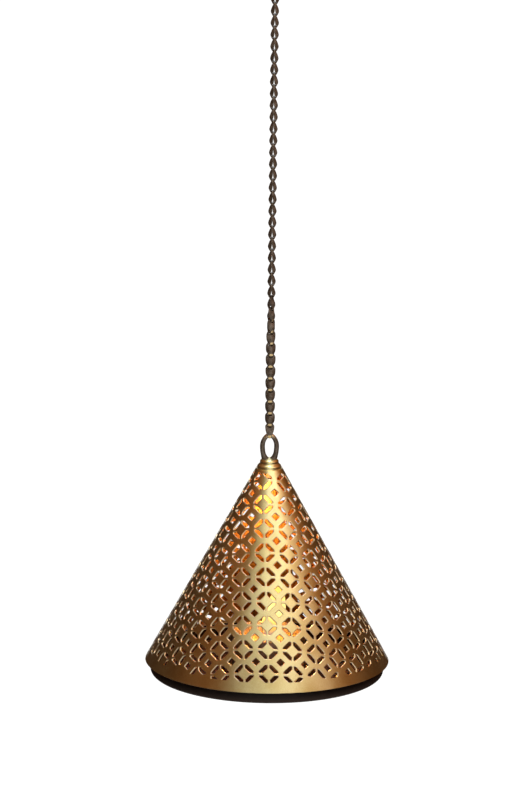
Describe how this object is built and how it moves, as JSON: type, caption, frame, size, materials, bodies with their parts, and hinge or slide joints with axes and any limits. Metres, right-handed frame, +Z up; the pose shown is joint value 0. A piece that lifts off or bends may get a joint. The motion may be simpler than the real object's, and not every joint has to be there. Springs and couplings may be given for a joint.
{
  "type": "hanging tealight lantern",
  "caption": "Hanging lantern: a pierced sheet-brass cone on a stamped chain, with a dark pull-off pan in its mouth that holds a tealight.",
  "frame": {"origin": "top of the inside of the hanging ring, where a hook carries the lantern", "axes": "+Z up along the chain, -Y the front as pictured, +X to the viewer's right"},
  "size_m": [0.12, 0.12, 0.3636],
  "materials": {
    "shade_brass": "satin",
    "chain_bronze": "dark antique, satin",
    "pan_enamel": "dark brown, semi-matt",
    "cup_aluminium": "bright drawn foil",
    "candle_wax": "translucent, softly glossy",
    "wick_cotton": "charred cotton"
  },
  "bodies": {
    "hanger": {"hanging_ring": "chain_bronze"},
    "link_01": {"chain_link_01": "chain_bronze"},
    "link_02": {"chain_link_02": "chain_bronze"},
    "link_03": {"chain_link_03": "chain_bronze"},
    "link_04": {"chain_link_04": "chain_bronze"},
    "link_05": {"chain_link_05": "chain_bronze"},
    "link_06": {"chain_link_06": "chain_bronze"},
    "link_07": {"chain_link_07": "chain_bronze"},
    "link_08": {"chain_link_08": "chain_bronze"},
    "link_09": {"chain_link_09": "chain_bronze"},
    "link_10": {"chain_link_10": "chain_bronze"},
    "link_11": {"chain_link_11": "chain_bronze"},
    "link_12": {"chain_link_12": "chain_bronze"},
    "link_13": {"chain_link_13": "chain_bronze"},
    "link_14": {"chain_link_14": "chain_bronze"},
    "link_15": {"chain_link_15": "chain_bronze"},
    "link_16": {"chain_link_16": "chain_bronze"},
    "link_17": {"chain_link_17": "chain_bronze"},
    "link_18": {"chain_link_18": "chain_bronze"},
    "link_19": {"chain_link_19": "chain_bronze"},
    "link_20": {"chain_link_20": "chain_bronze"},
    "link_21": {"chain_link_21": "chain_bronze"},
    "link_22": {"chain_link_22": "chain_bronze"},
    "link_23": {"chain_link_23": "chain_bronze"},
    "link_24": {"chain_link_24": "chain_bronze"},
    "link_25": {"chain_link_25": "chain_bronze"},
    "link_26": {"chain_link_26": "chain_bronze"},
    "link_27": {"chain_link_27": "chain_bronze"},
    "link_28": {"chain_link_28": "chain_bronze"},
    "link_29": {"chain_link_29": "chain_bronze"},
    "link_30": {"chain_link_30": "chain_bronze"},
    "link_31": {"chain_link_31": "chain_bronze"},
    "link_32": {"chain_link_32": "chain_bronze"},
    "link_33": {"chain_link_33": "chain_bronze"},
    "link_34": {"chain_link_34": "chain_bronze"},
    "link_35": {"chain_link_35": "chain_bronze"},
    "link_36": {"chain_link_36": "chain_bronze"},
    "link_37": {"chain_link_37": "chain_bronze"},
    "link_38": {"chain_link_38": "chain_bronze"},
    "link_39": {"chain_link_39": "chain_bronze"},
    "lantern": {"top_eye": "chain_bronze", "tip_ferrule": "shade_brass", "retaining_washer": "shade_brass", "retaining_nut": "shade_brass", "shade": "shade_brass"},
    "base": {"base_pan": "pan_enamel"},
    "tealight": {"tealight_cup": "cup_aluminium", "tealight_wax": "candle_wax", "tealight_wick": "wick_cotton", "wick_foot": "cup_aluminium"}
  },
  "joints": [
    {"name": "link_01_swing", "type": "hinge", "parent": "hanger", "child": "link_01", "pos_m": [0, 0, -0.0112], "axis": [0, 1, 0], "range_deg": [-35, 35]},
    {"name": "link_02_swing", "type": "hinge", "parent": "link_01", "child": "link_02", "pos_m": [0, 0, -0.0171], "axis": [0, -1, 0], "range_deg": [-35, 35]},
    {"name": "link_03_swing", "type": "hinge", "parent": "link_02", "child": "link_03", "pos_m": [0, 0, -0.023], "axis": [0, 1, 0], "range_deg": [-35, 35]},
    {"name": "link_04_swing", "type": "hinge", "parent": "link_03", "child": "link_04", "pos_m": [0, 0, -0.0289], "axis": [0, -1, 0], "range_deg": [-35, 35]},
    {"name": "link_05_swing", "type": "hinge", "parent": "link_04", "child": "link_05", "pos_m": [0, 0, -0.0348], "axis": [0, 1, 0], "range_deg": [-35, 35]},
    {"name": "link_06_swing", "type": "hinge", "parent": "link_05", "child": "link_06", "pos_m": [0, 0, -0.0407], "axis": [0, -1, 0], "range_deg": [-35, 35]},
    {"name": "link_07_swing", "type": "hinge", "parent": "link_06", "child": "link_07", "pos_m": [0, 0, -0.0466], "axis": [0, 1, 0], "range_deg": [-35, 35]},
    {"name": "link_08_swing", "type": "hinge", "parent": "link_07", "child": "link_08", "pos_m": [0, 0, -0.0525], "axis": [0, -1, 0], "range_deg": [-35, 35]},
    {"name": "link_09_swing", "type": "hinge", "parent": "link_08", "child": "link_09", "pos_m": [0, 0, -0.0584], "axis": [0, 1, 0], "range_deg": [-35, 35]},
    {"name": "link_10_swing", "type": "hinge", "parent": "link_09", "child": "link_10", "pos_m": [0, 0, -0.0643], "axis": [0, -1, 0], "range_deg": [-35, 35]},
    {"name": "link_11_swing", "type": "hinge", "parent": "link_10", "child": "link_11", "pos_m": [0, 0, -0.0702], "axis": [0, 1, 0], "range_deg": [-35, 35]},
    {"name": "link_12_swing", "type": "hinge", "parent": "link_11", "child": "link_12", "pos_m": [0, 0, -0.0761], "axis": [0, -1, 0], "range_deg": [-35, 35]},
    {"name": "link_13_swing", "type": "hinge", "parent": "link_12", "child": "link_13", "pos_m": [0, 0, -0.082], "axis": [0, 1, 0], "range_deg": [-35, 35]},
    {"name": "link_14_swing", "type": "hinge", "parent": "link_13", "child": "link_14", "pos_m": [0, 0, -0.0879], "axis": [0, -1, 0], "range_deg": [-35, 35]},
    {"name": "link_15_swing", "type": "hinge", "parent": "link_14", "child": "link_15", "pos_m": [0, 0, -0.0938], "axis": [0, 1, 0], "range_deg": [-35, 35]},
    {"name": "link_16_swing", "type": "hinge", "parent": "link_15", "child": "link_16", "pos_m": [0, 0, -0.0997], "axis": [0, -1, 0], "range_deg": [-35, 35]},
    {"name": "link_17_swing", "type": "hinge", "parent": "link_16", "child": "link_17", "pos_m": [0, 0, -0.1056], "axis": [0, 1, 0], "range_deg": [-35, 35]},
    {"name": "link_18_swing", "type": "hinge", "parent": "link_17", "child": "link_18", "pos_m": [0, 0, -0.1115], "axis": [0, -1, 0], "range_deg": [-35, 35]},
    {"name": "link_19_swing", "type": "hinge", "parent": "link_18", "child": "link_19", "pos_m": [0, 0, -0.1174], "axis": [0, 1, 0], "range_deg": [-35, 35]},
    {"name": "link_20_swing", "type": "hinge", "parent": "link_19", "child": "link_20", "pos_m": [0, 0, -0.1233], "axis": [0, -1, 0], "range_deg": [-35, 35]},
    {"name": "link_21_swing", "type": "hinge", "parent": "link_20", "child": "link_21", "pos_m": [0, 0, -0.1292], "axis": [0, 1, 0], "range_deg": [-35, 35]},
    {"name": "link_22_swing", "type": "hinge", "parent": "link_21", "child": "link_22", "pos_m": [0, 0, -0.1351], "axis": [0, -1, 0], "range_deg": [-35, 35]},
    {"name": "link_23_swing", "type": "hinge", "parent": "link_22", "child": "link_23", "pos_m": [0, 0, -0.141], "axis": [0, 1, 0], "range_deg": [-35, 35]},
    {"name": "link_24_swing", "type": "hinge", "parent": "link_23", "child": "link_24", "pos_m": [0, 0, -0.1469], "axis": [0, -1, 0], "range_deg": [-35, 35]},
    {"name": "link_25_swing", "type": "hinge", "parent": "link_24", "child": "link_25", "pos_m": [0, 0, -0.1528], "axis": [0, 1, 0], "range_deg": [-35, 35]},
    {"name": "link_26_swing", "type": "hinge", "parent": "link_25", "child": "link_26", "pos_m": [0, 0, -0.1587], "axis": [0, -1, 0], "range_deg": [-35, 35]},
    {"name": "link_27_swing", "type": "hinge", "parent": "link_26", "child": "link_27", "pos_m": [0, 0, -0.1646], "axis": [0, 1, 0], "range_deg": [-35, 35]},
    {"name": "link_28_swing", "type": "hinge", "parent": "link_27", "child": "link_28", "pos_m": [0, 0, -0.1705], "axis": [-0.2588, -0.9659, 0], "range_deg": [-20, 20]},
    {"name": "link_29_swing", "type": "hinge", "parent": "link_28", "child": "link_29", "pos_m": [0, 0, -0.1764], "axis": [0.5, 0.866, 0], "range_deg": [-20, 20]},
    {"name": "link_30_swing", "type": "hinge", "parent": "link_29", "child": "link_30", "pos_m": [0, 0, -0.1823], "axis": [-0.7071, -0.7071, 0], "range_deg": [-20, 20]},
    {"name": "link_31_swing", "type": "hinge", "parent": "link_30", "child": "link_31", "pos_m": [0, 0, -0.1882], "axis": [0.866, 0.5, 0], "range_deg": [-20, 20]},
    {"name": "link_32_swing", "type": "hinge", "parent": "link_31", "child": "link_32", "pos_m": [0, 0, -0.1941], "axis": [-0.9659, -0.2588, 0], "range_deg": [-20, 20]},
    {"name": "link_33_swing", "type": "hinge", "parent": "link_32", "child": "link_33", "pos_m": [0, 0, -0.2], "axis": [1, 0, 0], "range_deg": [-20, 20]},
    {"name": "link_34_swing", "type": "hinge", "parent": "link_33", "child": "link_34", "pos_m": [0, 0, -0.2059], "axis": [-1, 0, 0], "range_deg": [-35, 35]},
    {"name": "link_35_swing", "type": "hinge", "parent": "link_34", "child": "link_35", "pos_m": [0, 0, -0.2118], "axis": [1, 0, 0], "range_deg": [-35, 35]},
    {"name": "link_36_swing", "type": "hinge", "parent": "link_35", "child": "link_36", "pos_m": [0, 0, -0.2177], "axis": [-1, 0, 0], "range_deg": [-35, 35]},
    {"name": "link_37_swing", "type": "hinge", "parent": "link_36", "child": "link_37", "pos_m": [0, 0, -0.2236], "axis": [1, 0, 0], "range_deg": [-35, 35]},
    {"name": "link_38_swing", "type": "hinge", "parent": "link_37", "child": "link_38", "pos_m": [0, 0, -0.2295], "axis": [-1, 0, 0], "range_deg": [-35, 35]},
    {"name": "link_39_swing", "type": "hinge", "parent": "link_38", "child": "link_39", "pos_m": [0, 0, -0.2354], "axis": [1, 0, 0], "range_deg": [-35, 35]},
    {"name": "lantern_swing", "type": "hinge", "parent": "link_39", "child": "lantern", "pos_m": [0, 0, -0.24075], "axis": [1, 0, 0], "range_deg": [-35, 35]},
    {"name": "base_pull", "type": "slide", "parent": "lantern", "child": "base", "axis": [0, 0, -1], "range_m": [0, 0.06]},
    {"name": "tealight_lift", "type": "slide", "parent": "base", "child": "tealight", "axis": [0, 0, 1], "range_m": [0, 0.04]}
  ]
}
